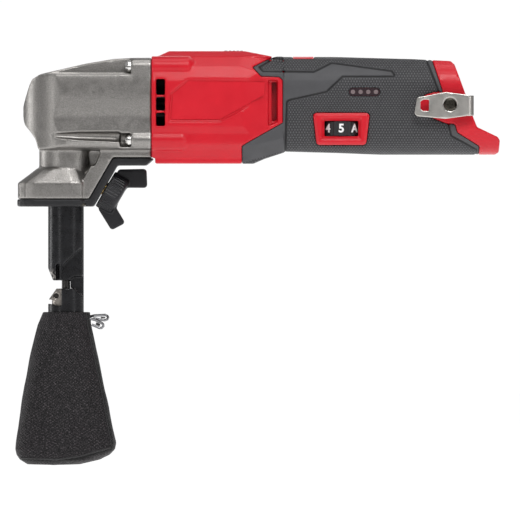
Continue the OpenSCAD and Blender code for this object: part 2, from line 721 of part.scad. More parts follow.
module belt_clip_screw() {
    color([0.3, 0.27, 0.22]) translate([218.5, -grip_half_w - steel_t - 0.02, 104.5])
        rotate([90, 0, 0]) pan_screw(1.55, 9, 3.6, 2.2);
}

// ---- motor ----
module motor_stator() {
    color([0.45, 0.45, 0.47]) on_motor_axis() difference() {
        along_x(motor_x[0], motor_x[1], stator_r);
        along_x(motor_x[0] - 1, motor_x[1] + 1, 11.6);
        for (k = [0:5]) rotate([30 + 60 * k, 0, 0]) translate([motor_x[0] - 1, -3.4, 12.5])
            cube([motor_x[1] - motor_x[0] + 2, 6.8, 5.5]);
    }
}
module motor_windings() {
    color([0.72, 0.4, 0.2]) on_motor_axis() for (k = [0:5]) rotate([60 * k, 0, 0])
        for (x = [motor_x[0] - 3.2, motor_x[1] + 0.1])
            translate([x, -4.6, 12.6]) cube([3.1, 9.2, 5.4]);
}
module motor_bearings() {
    color([0.75, 0.75, 0.77]) on_motor_axis() for (x = [43.8, 104])
        translate([x, 0, 0]) rotate([0, 90, 0]) ball_bearing(5, 8, shaft_r);
}
module bearing_plate() {    // front plate in the head, rear spider in the housing
    color([0.5, 0.5, 0.52]) on_motor_axis() {
        difference() {
            along_x(42.95, 49, 22.1);
            along_x(43.7, 50, 8.02);
            along_x(40, 50, 4.5);
            for (k = [0:5]) rotate([60 * k + 30, 0, 0])
                translate([48.2, 0, 15.5]) rotate([0, 90, 0]) cylinder(h = 3, r = 4);
        }
        difference() {
            along_x(103, 110, 10.5);
            along_x(100, 109.1, 8.02);
        }
    }
}
module motor_shaft() {
    color([0.78, 0.78, 0.8]) on_motor_axis() {
        along_x(34, 109, shaft_r - 0.02);
        along_x(58.5, 60, 4);
    }
}
module sun_pinion() {
    color([0.6, 0.6, 0.62]) on_motor_axis() difference() {
        section_slab(gear_x[0] + 0.5, gear_x[1] + 0.5)
            gear_shape(sun_teeth, gear_module, 0.12, 0.9, 1.15);
        along_x(30, 45, shaft_r);
    }
}
module rotor_core() {
    color([0.5, 0.5, 0.52]) on_motor_axis() difference() {
        along_x(motor_x[0] + 1, motor_x[1] - 1, 10.4);
        along_x(motor_x[0], motor_x[1], shaft_r);
        for (k = [0:3]) rotate([90 * k, 0, 0]) translate([motor_x[0], -4.6, 7.4])
            cube([motor_x[1] - motor_x[0], 9.2, 1.7]);
    }
}
module rotor_magnets() {
    color([0.3, 0.3, 0.33]) on_motor_axis() for (k = [0:3]) rotate([90 * k, 0, 0])
        translate([motor_x[0] + 1.5, -4.5, 7.5]) cube([motor_x[1] - motor_x[0] - 3, 9, 1.5]);
}
module cooling_fan() {
    color([0.2, 0.2, 0.22]) on_motor_axis() difference() {
        union() {
            along_x(50.6, 51.8, 19.5);
            along_x(50.6, 58.4, 5);
            for (k = [0:10]) rotate([k * 360 / 11, 0, 0]) translate([51.5, -0.6, 6])
                rotate([18, 0, 0]) cube([5, 1.2, 13.2]);
        }
        along_x(45, 60, shaft_r);
    }
}
module phase_wires() {
    color([0.15, 0.15, 0.45]) for (y = [-3, 1, 5]) swept_wire([[100.2, y, 117.6],
        [106, y, 117.2], [112, y, 117], [117, y, 111], [123, y, 104.6], [127.5, y, 102.8]], 0.8);
}

// ---- planetary drive and crank ----
module ring_gear() {
    color([0.62, 0.6, 0.55]) on_motor_axis() difference() {
        along_x(gear_x[0] - 1, gear_x[1] + 1, ring_r);
        section_slab(gear_x[0] - 2, gear_x[1] + 2) rotate([0, 0, 180 / ring_teeth])
            gear_shape(ring_teeth, gear_module, -0.12, 1.15, 0.9);
    }
}
module at_planet(k) {
    on_motor_axis() rotate([k * 360 / planet_count, 0, 0]) translate([0, planet_orbit, 0])
        children();
}
module planet_gear(k) {
    color([0.68, 0.66, 0.6]) at_planet(k) difference() {
        section_slab(gear_x[0], gear_x[1]) rotate([0, 0, 180 / planet_teeth])
            gear_shape(planet_teeth, gear_module, 0.12, 0.9, 1.15);
        along_x(gear_x[0] - 1, gear_x[1] + 1, 2.05);
    }
}
module planet_gear_1() {
    planet_gear(0);
}
module planet_gear_2() {
    planet_gear(1);
}
module planet_gear_3() {
    planet_gear(2);
}
module planet_pins() {
    color([0.8, 0.8, 0.82]) for (k = [0:planet_count - 1]) at_planet(k)
        along_x(28.5, gear_x[1] + 0.6, 2);
}
module crank_carrier() {
    color([0.55, 0.55, 0.57]) difference() {
        union() {
            on_motor_axis() {
                along_x(27.4, 32.4, 15.4);
                along_x(12, 28, 6);
                along_x(15, 16.8, 8);
                along_x(5.2, 12.1, 11);
            }
            translate([0, 0, motor_z + crank_throw]) along_x(-4.6, 6, 4);
        }
        for (k = [0:planet_count - 1]) at_planet(k) along_x(28.4, 40, 2);
        translate([0, 0, motor_z + crank_throw]) along_x(-6, -3.2, 0.9);
    }
}
module crank_pin_clip() {
    color([0.75, 0.75, 0.75]) translate([0, 0, motor_z + crank_throw]) {
        along_x(-5.6, -4.62, 5.4);
        along_x(-6.4, -3.3, 0.88);
    }
}
module crank_bearing() {
    color([0.75, 0.75, 0.77]) on_motor_axis() translate([17, 0, 0]) rotate([0, 90, 0])
        ball_bearing(8, 14, 6.02);
}
module big_end_bearing() {
    color([0.78, 0.78, 0.8]) translate([0, 0, motor_z + crank_throw]) difference() {
        along_x(-3.4, 3.4, 5.6);
        along_x(-5, 5, 4 + gap / 2);
    }
}
module connecting_rod() {
    color([0.5, 0.5, 0.52]) difference() {
        union() {
            translate([0, 0, motor_z + crank_throw]) along_x(-3, 3, 7.4);
            translate([0, 0, wrist_z]) along_x(-3, 3, 4);
            translate([-2.2, -2.8, wrist_z]) cube([4.4, 5.6, rod_length]);
        }
        translate([0, 0, motor_z + crank_throw]) along_x(-5, 5, 5.6);
        translate([0, 0, wrist_z]) along_x(-5, 5, 2);
    }
}
module wrist_pin() {
    color([0.8, 0.8, 0.82]) translate([0, 0, wrist_z]) along_x(-6.4, 6.4, 2);
}
module plunger() {
    window_half = crank_throw + 2.3;
    head_top = 93;
    color([0.65, 0.65, 0.67]) difference() {
        union() {
            translate([0, 0, 36]) cylinder(h = head_bottom - 35, r = plunger_r);
            intersection() {
                translate([-6.2, -8.6, head_bottom]) cube([12.4, 17.2, head_top - head_bottom]);
                translate([0, 0, 60]) cylinder(h = 40, r = 10.6);
            }
        }
        translate([-3.3, -12, head_bottom + 2]) cube([6.6, 24, 40]);
        translate([-12, -window_half, wrist_z - stroke - 2.3])
            cube([24, 2 * window_half, 2 * stroke + 4.6]);
        translate([0, 0, 35]) cylinder(h = 13, r = 2.6);
        translate([-8, 0, 41]) rotate([0, 90, 0]) cylinder(h = 6.2, r = 1.5);
    }
}
module punch() {            // round, so that the die holder can face any way round it
    color([0.4, 0.4, 0.42]) {
        translate([0, 0, throat_h + 0.15]) cylinder(h = 31.2, r = punch_r);
        translate([0, 0, 35.9]) cylinder(h = 12, r = 2.55);
        translate([0, 0, -3]) cylinder(h = throat_h + 3.5, r = 2.4);
    }
}
module punch_screw() {
    color([0.3, 0.3, 0.3]) translate([-5.6, 0, 41]) rotate([0, 90, 0])
        cylinder(h = 3, r = 1.45);
}

// ---- die holder ----
module holder_side_cuts(half_w, outline) {
    both_sides() side_slab(half_w, far) rounded(outline, 0.6);
}
module die_holder() {
    color([0.16, 0.16, 0.17]) difference() {
        union() {
            translate([0, 0, tube_bottom]) cylinder(h = holder_top - tube_bottom, r = tube_r);
            translate([0, 0, collar_z]) cylinder(h = holder_top - collar_z, r = collar_r);
        }
        rotate_extrude() translate(groove_at) circle(r = groove_r);
        translate([0, 0, 34]) cylinder(h = 40, r = 7.6);
        translate([0, 0, -0.1]) cylinder(h = 43, r = punch_r + 0.1);
        both_sides() side_slab(3.6, far) polygon([[-5.4, 4], [-5.4, 13.6], [-3.6, 14.4], [-3.6, 4]]);
        translate([0, 0, 28]) cylinder(h = 10, r = 6.4);
        translate([0, 0, tube_bottom - 1]) cylinder(h = -tube_bottom - 11, r = 8);
        // throat, and the sloping front of each jaw
        side_slab(-far, far) polygon([[-20, 0], [2.5, 0], [2.5, throat_h], [-20, throat_h]]);
        side_slab(-far, far) polygon([[-20, 11.6], [-10.2, 11.6], [-7.2, throat_h], [-7.2, 0],
            [-20, 0]]);
        // seat of the die, open to the front and held between two cheeks behind
        side_slab(-far, far) polygon([[-20, 0.05], [-2.4, 0.05], [-2.4, -10.2], [-20, -6.4]]);
        intersection() {
            translate([0, 0, -12.2]) cylinder(h = 12.3, r = 8.05);
            side_slab(-flat_half_w - 0.45, flat_half_w + 0.45)
                polygon([[-20, 1], [4.5, 1], [4.5, -13], [-20, -13]]);
        }
        holder_side_cuts(flat_half_w,
            [[-1.6, 4], [-1.6, 13.4], [0.6, 15.8], [7.8, 22.6], [14, 24.5], [14, 4]]);
        holder_side_cuts(strut_half_w, [[2.4, 0.02], [2.4, 5.6], [5, 6.8], [14, 7.4],
            [14, -5], [8, -3.4], [4.6, 0.02]]);
    }
}
module plunger_bushing() {
    color([0.72, 0.55, 0.3]) translate([0, 0, 35]) tube(30, 7.58, plunger_r + gap / 2);
}
module die() {
    color([0.72, 0.71, 0.7]) difference() {
        intersection() {
            union() {
                translate([0, 0, -6.4]) cylinder(h = 6.4, r1 = 9.9, r2 = 5.4);
                translate([0, 0, -12.1]) cylinder(h = 5.8, r = 8);
            }
            translate([-20, -flat_half_w - 0.4, -13]) cube([24.4, 2 * flat_half_w + 0.8, 14]);
        }
        translate([0, 0, -20]) cylinder(h = 30, r = punch_r + 0.1);
        translate([-5.4, -20, -4.2]) rotate([-90, 0, 0]) cylinder(h = 40, r = 1.5);
    }
}
module die_pin() {
    color([0.6, 0.6, 0.6]) translate([-5.4, -3.6, -4.2]) rotate([-90, 0, 0])
        cylinder(h = 7.2, r = 1.45);
}

// ---- chip bag ----
bag_bottom = hem_z - bag_h;
// Levels of the bag as [half width, half depth, height above the bag's bottom].
bag_levels = [[bag_half_w - 4, 19, 0], [bag_half_w, 23, 9.4], [bag_half_w - 8.2, 18, 52],
    [bag_half_w - 12.4, 15.4, bag_h - 11.6], [hem_r, hem_r, bag_h - 0.4]];
module bag_form(inset) {
    hull() for (l = bag_levels) translate([0, 0, bag_bottom + l[2] + (l[2] < 40 ? inset : 0)])
        linear_extrude(0.4) polygon(round_rect(inset - l[0], inset - l[1], l[0] - inset,
            l[1] - inset, (l[1] - inset) * 0.96, 6));
}
module chip_bag() {
    color([0.09, 0.09, 0.1]) difference() {
        bag_form(0);
        difference() {
            bag_form(bag_wall);
            translate([0, 0, bag_bottom + 75]) cylinder(h = 20, r = 60);
        }
        translate([0, 0, bag_bottom + 70]) cylinder(h = 40, r = tube_r + 0.2);
    }
}
clip_z = -16.6;
clip_ring_r = 11.9;
// The wire's path: one finger loop, the ring sewn into the hem, then the other loop.
upper_loop = [[15.4, 1.4, -17], [22.2, 0.9, -18.1], [23.6, 0.9, -17.6], [24, 0.9, -16.6],
    [23.6, 1, -15.6], [22.4, 1.2, -15.1], [16, 1.9, -15.4]];
lower_loop = [[16.6, -1.8, -17.9], [20.2, -1.1, -19.5], [21.2, -1, -20.4], [21.3, -0.9, -21.6],
    [20.4, -0.9, -22.5], [19.2, -1, -22.5], [14.8, -1.5, -20.6]];
clip_path = concat(upper_loop,
    [for (a = [15:10:345]) [clip_ring_r * cos(a), clip_ring_r * sin(a), clip_z]], lower_loop);
module bag_clip() {         // spring wire sewn into the hem, with a finger loop at each end
    color([0.75, 0.75, 0.77]) swept_wire(clip_path, 0.75);
}
module bag_clip_grips() {   // dipped plastic in the finger loops
    color([0.1, 0.1, 0.1]) {
        swept_wire([[19.8, 1.3, -16.46], [21, 1.2, -16.55], [22.4, 1, -16.6]], 0.4);
        swept_wire([[17.2, -1.5, -19.85], [18.2, -1.3, -20.35], [19.3, -1, -20.8]], 0.72);
    }
}

gear_case();
base_cover();
housing_left();
housing_right();
grip_left();
grip_right();
dial_bezel();
gauge_window();
gauge_leds();
circuit_board();
terminal_block();
terminal_contacts();
switch_body();
motor_stator();
motor_windings();
motor_bearings();
bearing_plate();
ring_gear();
crank_bearing();
swivel_washer();
gear_case_screws();
housing_screws();
cover_screws();
belt_clip();
belt_clip_screw();
lock_bushing();
grip_badge();
side_badge();
phase_wires();
rotor_core();
rotor_magnets();
motor_shaft();
cooling_fan();
sun_pinion();
crank_carrier();
planet_pins();
crank_pin_clip();
planet_gear_1();
planet_gear_2();
planet_gear_3();
connecting_rod();
big_end_bearing();
wrist_pin();
plunger();
punch();
punch_screw();
die_holder();
plunger_bushing();
die();
die_pin();
chip_bag();
bag_clip();
bag_clip_grips();
lock_knob();
lock_pin();
speed_dial();
dial_axle();
power_slide();
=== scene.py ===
"""The looks of a cordless nibbler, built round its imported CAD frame. Lengths are millimetres
in this script's own working space and become metres where a mesh is made."""
import json
import math

import bpy
import numpy as np
import openvdb
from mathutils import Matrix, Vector, noise
from mathutils.bvhtree import BVHTree


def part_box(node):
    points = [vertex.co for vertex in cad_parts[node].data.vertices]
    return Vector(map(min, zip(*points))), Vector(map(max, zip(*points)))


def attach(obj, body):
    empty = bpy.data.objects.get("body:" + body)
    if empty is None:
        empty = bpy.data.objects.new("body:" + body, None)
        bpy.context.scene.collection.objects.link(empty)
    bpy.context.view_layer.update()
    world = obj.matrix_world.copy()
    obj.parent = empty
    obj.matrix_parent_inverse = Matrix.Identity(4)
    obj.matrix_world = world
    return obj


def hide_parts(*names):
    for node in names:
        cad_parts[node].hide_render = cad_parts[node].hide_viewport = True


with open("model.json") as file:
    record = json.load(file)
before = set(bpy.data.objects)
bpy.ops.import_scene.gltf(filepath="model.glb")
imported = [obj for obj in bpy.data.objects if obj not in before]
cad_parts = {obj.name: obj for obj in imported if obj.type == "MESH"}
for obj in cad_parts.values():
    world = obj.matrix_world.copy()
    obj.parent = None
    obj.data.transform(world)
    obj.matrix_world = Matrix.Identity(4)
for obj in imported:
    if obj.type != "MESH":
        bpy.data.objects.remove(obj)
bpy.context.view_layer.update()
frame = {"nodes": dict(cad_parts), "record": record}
nodes = frame["nodes"]
MM = 0.001


# ---------------------------------------------------------------- camera and studio
def span(node):
    """A node's lowest and highest corners in millimetres."""
    low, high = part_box(node)
    return np.array(low) / MM, np.array(high) / MM


BAG_TRAVEL = 0.030                    # how far the bag comes down when it is taken off
FLOOR_Z = span("chip_bag")[0][2] * MM - BAG_TRAVEL - 0.003
VIEW_CENTRE = (0.1106, 0.01625)      # x and z at the middle of the picture
VIEW_WIDTH = 0.2964                  # what the picture spans at the tool
CAMERA_DISTANCE = 6.0


def make_camera():
    data = bpy.data.cameras.new("camera")
    data.sensor_width = 36
    data.lens = 36 * CAMERA_DISTANCE / VIEW_WIDTH
    data.clip_end = 50
    camera = bpy.data.objects.new("camera", data)
    camera.location = (VIEW_CENTRE[0], -CAMERA_DISTANCE, VIEW_CENTRE[1])
    camera.rotation_euler = (math.radians(90), 0, 0)
    bpy.context.collection.objects.link(camera)
    bpy.context.scene.camera = camera


def area_light(name, place, aim, size, power, colour=(1, 1, 1)):
    data = bpy.data.lights.new(name, "AREA")
    data.shape = "RECTANGLE"
    data.size, data.size_y = size
    data.energy = power
    data.color = colour
    light = bpy.data.objects.new(name, data)
    light.location = place
    light.rotation_euler = (Vector(aim) - Vector(place)).to_track_quat("-Z", "Y").to_euler()
    bpy.context.collection.objects.link(light)


def make_studio():
    """White behind the object; for everything else a light tent, darker round the camera."""
    scene = bpy.context.scene
    scene.view_settings.view_transform = "Standard"
    scene.view_settings.look = "None"
    scene.view_settings.exposure = 0
    world = bpy.data.worlds.new("studio")
    scene.world = world
    world.use_nodes = True
    tree = world.node_tree
    tree.nodes.clear()
    out = tree.nodes.new("ShaderNodeOutputWorld")
    tent = tree.nodes.new("ShaderNodeBackground")
    backdrop = tree.nodes.new("ShaderNodeBackground")
    chosen = tree.nodes.new("ShaderNodeMixShader")
    rays = tree.nodes.new("ShaderNodeLightPath")
    place = tree.nodes.new("ShaderNodeTexCoord")
    split = tree.nodes.new("ShaderNodeSeparateXYZ")
    height = tree.nodes.new("ShaderNodeMapRange")
    ramp = tree.nodes.new("ShaderNodeValToRGB")
    height.inputs["From Min"].default_value = -1
    stops = [(0.0, 0.16), (0.30, 0.26), (0.46, 0.06), (0.55, 0.05), (0.70, 0.38), (1.0, 0.25)]
    ramp.color_ramp.interpolation = "EASE"
    for k, (at, level) in enumerate(stops):
        stop = ramp.color_ramp.elements[k] if k < 2 else ramp.color_ramp.elements.new(at)
        stop.position = at
        stop.color = (level, level, level * 1.01, 1)
    backdrop.inputs["Color"].default_value = (1, 1, 1, 1)
    backdrop.inputs["Strength"].default_value = 1.02
    tree.links.new(place.outputs["Generated"], split.inputs[0])
    tree.links.new(split.outputs["Z"], height.inputs["Value"])
    tree.links.new(height.outputs["Result"], ramp.inputs["Fac"])
    tree.links.new(ramp.outputs["Color"], tent.inputs["Color"])
    tree.links.new(rays.outputs["Is Camera Ray"], chosen.inputs["Fac"])
    tree.links.new(tent.outputs[0], chosen.inputs[1])
    tree.links.new(backdrop.outputs[0], chosen.inputs[2])
    tree.links.new(chosen.outputs[0], out.inputs[0])
    focus = (0.09, 0, 0.06)
    area_light("key", (0.30, -0.80, 0.78), focus, (0.5, 0.3), 5.6)
    area_light("top", (0.15, -0.1, 1.0), focus, (1.2, 0.25), 3.2)
    area_light("low_front", (0.1, -0.85, -0.42), focus, (1.1, 0.12), 1.0)
    area_light("left_strip", (-0.70, -0.80, 0.05), focus, (0.12, 1.2), 1.8)
    area_light("right_strip", (1.00, -0.70, 0.05), focus, (0.12, 1.2), 1.6)
    area_light("rim", (-0.8, 0.35, 0.2), focus, (0.25, 0.6), 1.8)
    area_light("back", (0.3, 0.9, 0.5), focus, (1.0, 0.4), 2)


def make_floor():
    half = 6.0
    mesh = bpy.data.meshes.new("floor")
    mesh.from_pydata([(-half, -half, FLOOR_Z), (half, -half, FLOOR_Z), (half, half, FLOOR_Z),
                      (-half, half, FLOOR_Z)], [], [(0, 1, 2, 3)])
    floor = bpy.data.objects.new("floor", mesh)
    bpy.context.collection.objects.link(floor)
    return floor


# ---------------------------------------------------------------- materials
class Shader:
    """A Principled material with small helpers for the nodes round it."""

    def __init__(self, name, colour, rough, metal=0.0, **sockets):
        self.material = bpy.data.materials.new(name)
        self.material.use_nodes = True
        self.tree = self.material.node_tree
        self.bsdf = self.tree.nodes["Principled BSDF"]
        self.bsdf.inputs["Base Color"].default_value = (*colour, 1)
        self.bsdf.inputs["Roughness"].default_value = rough
        self.bsdf.inputs["Metallic"].default_value = metal
        for socket, value in sockets.items():
            self.bsdf.inputs[socket.replace("_", " ")].default_value = value
        self.colour, self.rough = colour, rough
        self.place = self.node("TexCoord").outputs["Object"]
        self.height = None

    def node(self, kind, **settings):
        made = self.tree.nodes.new("ShaderNode" + kind)
        for key, value in settings.items():
            setattr(made, key, value)
        return made

    def link(self, source, target):
        self.tree.links.new(source, target)

    def maths(self, operation, *values):
        made = self.node("Math", operation=operation)
        for i, value in enumerate(values):
            if isinstance(value, (int, float)):
                made.inputs[i].default_value = value
            else:
                self.link(value, made.inputs[i])
        return made.outputs[0]

    def noise(self, size, detail=3.0, stretch=None, distortion=0.0):
        """Smooth noise whose features are about size millimetres across."""
        made = self.node("TexNoise")
        made.inputs["Scale"].default_value = 1 / (size * MM)
        made.inputs["Detail"].default_value = detail
        made.inputs["Distortion"].default_value = distortion
        if stretch:
            mapping = self.node("Mapping")
            mapping.inputs["Scale"].default_value = stretch
            self.link(self.place, mapping.inputs[0])
            self.link(mapping.outputs[0], made.inputs["Vector"])
        else:
            self.link(self.place, made.inputs["Vector"])
        return made.outputs["Fac"]

    def ranged(self, value, low, high, to_low, to_high):
        made = self.node("MapRange")
        self.link(value, made.inputs["Value"])
        for socket, number in zip(("From Min", "From Max", "To Min", "To Max"),
                                  (low, high, to_low, to_high)):
            made.inputs[socket].default_value = number
        return made.outputs["Result"]

    def mix(self, amount, first, second):
        made = self.node("Mix", data_type="RGBA")
        for value, socket in ((amount, 0), (first, 6), (second, 7)):
            if isinstance(value, tuple):
                made.inputs[socket].default_value = (*value, 1)
            elif isinstance(value, (int, float)):
                made.inputs[socket].default_value = value
            else:
                self.link(value, made.inputs[socket])
        return made.outputs[2]

    def mottle(self, size, amount, detail=4.0):
        """Lightens and darkens the base colour in soft patches."""
        darker = tuple(c * (1 - amount) for c in self.colour)
        lighter = tuple(c * (1 + amount) for c in self.colour)
        shade = self.mix(self.ranged(self.noise(size, detail), 0.3, 0.7, 0, 1), darker, lighter)
        self.link(shade, self.bsdf.inputs["Base Color"])
        self.shade = shade
        return self

    def rough_patches(self, size, amount):
        spread = self.ranged(self.noise(size, 5), 0.3, 0.7, self.rough - amount, self.rough + amount)
        self.link(spread, self.bsdf.inputs["Roughness"])
        return self

    def wear(self, colour, strength, size=1.5):
        """Shows the worn colour on outer edges, broken up by noise."""
        point = self.node("NewGeometry").outputs["Pointiness"]
        edge = self.ranged(point, 0.515, 0.56, 0, strength)
        patchy = self.maths("MULTIPLY", edge, self.ranged(self.noise(size, 5), 0.35, 0.65, 0.2, 1))
        shade = self.mix(patchy, self.shade, colour)
        self.link(shade, self.bsdf.inputs["Base Color"])
        self.shade = shade
        return self

    def bump(self, height, depth, strength=1.0):
        """Adds a bump, with depth in millimetres, on top of any bump already there."""
        made = self.node("Bump")
        made.inputs["Strength"].default_value = strength
        made.inputs["Distance"].default_value = depth * MM
        self.link(height, made.inputs["Height"])
        if self.height:
            self.link(self.height, made.inputs["Normal"])
        self.height = made.outputs["Normal"]
        self.link(self.height, self.bsdf.inputs["Normal"])
        return self

    def grain(self, size, depth, detail=4.0):
        return self.bump(self.noise(size, detail), depth)


def cast_metal():
    made = Shader("cast_case", (0.265, 0.254, 0.242), 0.36, 0.9)
    made.mottle(0.6, 0.2, 2).rough_patches(4, 0.05)
    made.wear((0.55, 0.53, 0.50), 0.5)
    return made.grain(0.5, 0.075, 3).grain(2.4, 0.05, 2).material


def moulded(name, colour, rough, metal=0.0, grain=0.012, **sockets):
    made = Shader(name, colour, rough, metal, **({"Specular_IOR_Level": 0.32} | sockets))
    made.mottle(12, 0.05).rough_patches(6, 0.035)
    return made.grain(0.35, grain, 2).material


def machined(name, colour, rough, streak=(1, 1, 12), mottle=0.1):
    """Ground or brushed metal with fine streaks across the stretched axis."""
    made = Shader(name, colour, rough, 1.0)
    made.mottle(5, mottle, 2).rough_patches(5, 0.025)
    made.bump(made.noise(1.2, 4, streak), 0.012)
    return made.material


def oxide_steel():
    """Blackened steel with fine turning marks, rubbed bright on its working nose."""
    made = Shader("black_oxide", (0.011, 0.011, 0.0125), 0.29, 0.35)
    made.bsdf.inputs["Specular IOR Level"].default_value = 0.38
    made.mottle(4, 0.3).rough_patches(3, 0.07)
    worn = made.node("Attribute", attribute_name="worn").outputs["Fac"]
    patchy = made.maths("MULTIPLY", worn, made.ranged(made.noise(1.4, 5), 0.4, 0.62, 0, 1))
    made.link(made.mix(patchy, made.shade, (0.34, 0.32, 0.30)), made.bsdf.inputs["Base Color"])
    return made.bump(made.noise(1.2, 4, (1, 1, 9)), 0.012).material


def grip_rubber():
    """Rubber with rows of small raised dots wherever the mesh says dots = 1, with a painted highlight on
    the dot tops, painted shade between them and painted shade along the groove lines.
    """
    made = Shader("grip_rubber", (0.060, 0.060, 0.064), 0.55)
    made.bsdf.inputs["Specular IOR Level"].default_value = 0.35
    made.mottle(9, 0.07).rough_patches(5, 0.05)
    along = made.node("Attribute", attribute_name="along").outputs["Fac"]
    around = made.node("Attribute", attribute_name="around").outputs["Fac"]
    zone = made.node("Attribute", attribute_name="dots").outputs["Fac"]
    pitch = 1.6
    row = pitch * math.sin(math.radians(60))
    turn = 2 * math.pi
    first = made.maths("COSINE", made.maths("MULTIPLY", around, turn / row))
    half_turns = made.maths("MULTIPLY", around, math.pi / row)
    second = made.maths("MULTIPLY", made.maths("COSINE", half_turns),
                        made.maths("COSINE", made.maths("MULTIPLY", along, turn / pitch)))
    wave = made.maths("ADD", first, made.maths("MULTIPLY", second, 2))
    dot = made.ranged(wave, -0.6, 1.6, 0, 1)
    raised = made.maths("MULTIPLY", dot, zone)
    # Painted highlight: the dot tops are coloured lighter than the rubber.
    shade = made.mix(made.maths("MULTIPLY", raised, 0.55), made.shade, (0.105, 0.105, 0.11))
    # Painted shade: the hollows between the dots are coloured darker.
    painted_hollow_shade = made.maths("MULTIPLY", made.maths("SUBTRACT", zone, raised), 0.75)
    shade = made.mix(painted_hollow_shade, shade, (0.016, 0.016, 0.018))
    # Painted shade: the groove lines are coloured near black.
    line = made.node("Attribute", attribute_name="line").outputs["Fac"]
    made.link(made.mix(line, shade, (0.006, 0.006, 0.007)), made.bsdf.inputs["Base Color"])
    made.grain(0.3, 0.01, 2)
    return made.bump(raised, 0.22).material


def bag_fabric():
    """Plain-woven nylon: two crossing sets of yarns that follow the bag's own run, with painted sheen
    flecks on the yarns that pass over and a painted shadow beside the seams.
    """
    made = Shader("bag_fabric", (0.0055, 0.005, 0.0055), 0.62)
    made.bsdf.inputs["Sheen Weight"].default_value = 0.03
    made.bsdf.inputs["Sheen Roughness"].default_value = 0.4
    made.bsdf.inputs["Specular IOR Level"].default_value = 0.22
    made.mottle(3, 0.25, 6).rough_patches(3, 0.08)
    across = made.node("Attribute", attribute_name="weft").outputs["Fac"]
    down = made.node("Attribute", attribute_name="warp").outputs["Fac"]
    seam_shadow = made.node("Attribute", attribute_name="seam_shadow").outputs["Fac"]
    yarn = 0.85
    sway = made.maths("MULTIPLY", made.noise(4, 3), 0.5)
    first = made.maths("SINE", made.maths("MULTIPLY", made.maths("ADD", across, sway), math.pi / yarn))
    second = made.maths("SINE", made.maths("MULTIPLY", made.maths("ADD", down, sway), math.pi / yarn))
    weave = made.maths("MULTIPLY", first, second)
    over = made.ranged(weave, -1, 1, 0, 1)
    # Painted sheen: yarns that pass over are coloured lighter in noise-broken flecks, on top of the weave
    # pattern.
    painted_sheen_fleck = made.ranged(made.noise(0.7, 4), 0.45, 0.75, 0, 1)
    light = made.maths("MULTIPLY", over, painted_sheen_fleck)
    cloth = made.mix(light, made.shade, (0.115, 0.10, 0.108))
    # Painted shadow: a near-black band beside the seams.
    made.link(made.mix(seam_shadow, cloth, (0.0015, 0.0015, 0.0015)), made.bsdf.inputs["Base Color"])
    made.bump(over, 0.3)
    return made.grain(0.5, 0.08).material


def floor_white():
    made = Shader("floor_white", (0.55, 0.55, 0.55), 0.8)
    made.bsdf.inputs["Emission Color"].default_value = (1, 1, 1, 1)
    made.bsdf.inputs["Emission Strength"].default_value = 0.85
    return made.material


def make_materials():
    red = (0.53, 0.0035, 0.014)
    black = (0.018, 0.018, 0.020)
    steel = (0.55, 0.53, 0.50)
    return {
        "cast_case": cast_metal(),
        "black_cover": moulded("black_cover", (0.014, 0.014, 0.0155), 0.45, grain=0.03),
        "red_moulding": moulded("red_moulding", red, 0.36, grain=0.012, Specular_IOR_Level=0.36),
        "red_trim": moulded("red_trim", (0.55, 0.004, 0.015), 0.33, grain=0.008, Specular_IOR_Level=0.42),
        "grip_rubber": grip_rubber(),
        "gauge_window": moulded("gauge_window", (0.03, 0.016, 0.02), 0.3, Coat_Weight=0.6),
        "gauge_leds": moulded("gauge_leds", (0.17, 0.13, 0.135), 0.35),
        "circuit_board": moulded("circuit_board", (0.01, 0.10, 0.045), 0.4),
        "black_plastic": moulded("black_plastic", black, 0.5),
        "contact_brass": machined("contact_brass", (0.65, 0.45, 0.2), 0.3),
        "motor_steel": machined("motor_steel", (0.2, 0.2, 0.21), 0.45, (14, 1, 1)),
        "copper_winding": machined("copper_winding", (0.55, 0.22, 0.09), 0.35, (1, 9, 9)),
        "bearing_steel": machined("bearing_steel", (0.6, 0.6, 0.61), 0.2),
        "cast_bracket": machined("cast_bracket", (0.4, 0.4, 0.4), 0.45),
        "gear_steel": machined("gear_steel", (0.4, 0.39, 0.37), 0.3),
        "bright_screws": machined("bright_screws", (0.72, 0.71, 0.69), 0.25),
        "black_screws": machined("black_screws", (0.07, 0.065, 0.055), 0.35),
        "clip_steel": machined("clip_steel", steel, 0.3, (10, 1, 1), 0.06),
        "bushing_brass": machined("bushing_brass", (0.5, 0.36, 0.16), 0.35),
        "wire_insulation": moulded("wire_insulation", (0.03, 0.03, 0.25), 0.4),
        "magnet": machined("magnet", (0.25, 0.25, 0.27), 0.25),
        "shaft_steel": machined("shaft_steel", (0.55, 0.55, 0.56), 0.22),
        # The punch is coloured near black: partly its dark steel, partly painted shade for the throat
        # shadow it sits in.
        "punch_steel": machined("punch_steel", (0.05, 0.047, 0.045), 0.32),
        "black_oxide": oxide_steel(),
        "die_steel": machined("die_steel", (0.30, 0.275, 0.25), 0.34, (8, 1, 1), 0.25),
        "bag_fabric": bag_fabric(),
        "bag_seam": moulded("bag_seam", (0.022, 0.021, 0.022), 0.55, grain=0.06),
        "clip_wire": machined("clip_wire", (0.26, 0.26, 0.27), 0.2),
        "clip_sleeve": moulded("clip_sleeve", black, 0.45),
        "knob_black": moulded("knob_black", (0.014, 0.014, 0.016), 0.36, grain=0.02),
        "dial_black": moulded("dial_black", (0.02, 0.02, 0.022), 0.4),
        "slide_black": moulded("slide_black", black, 0.45),
    }


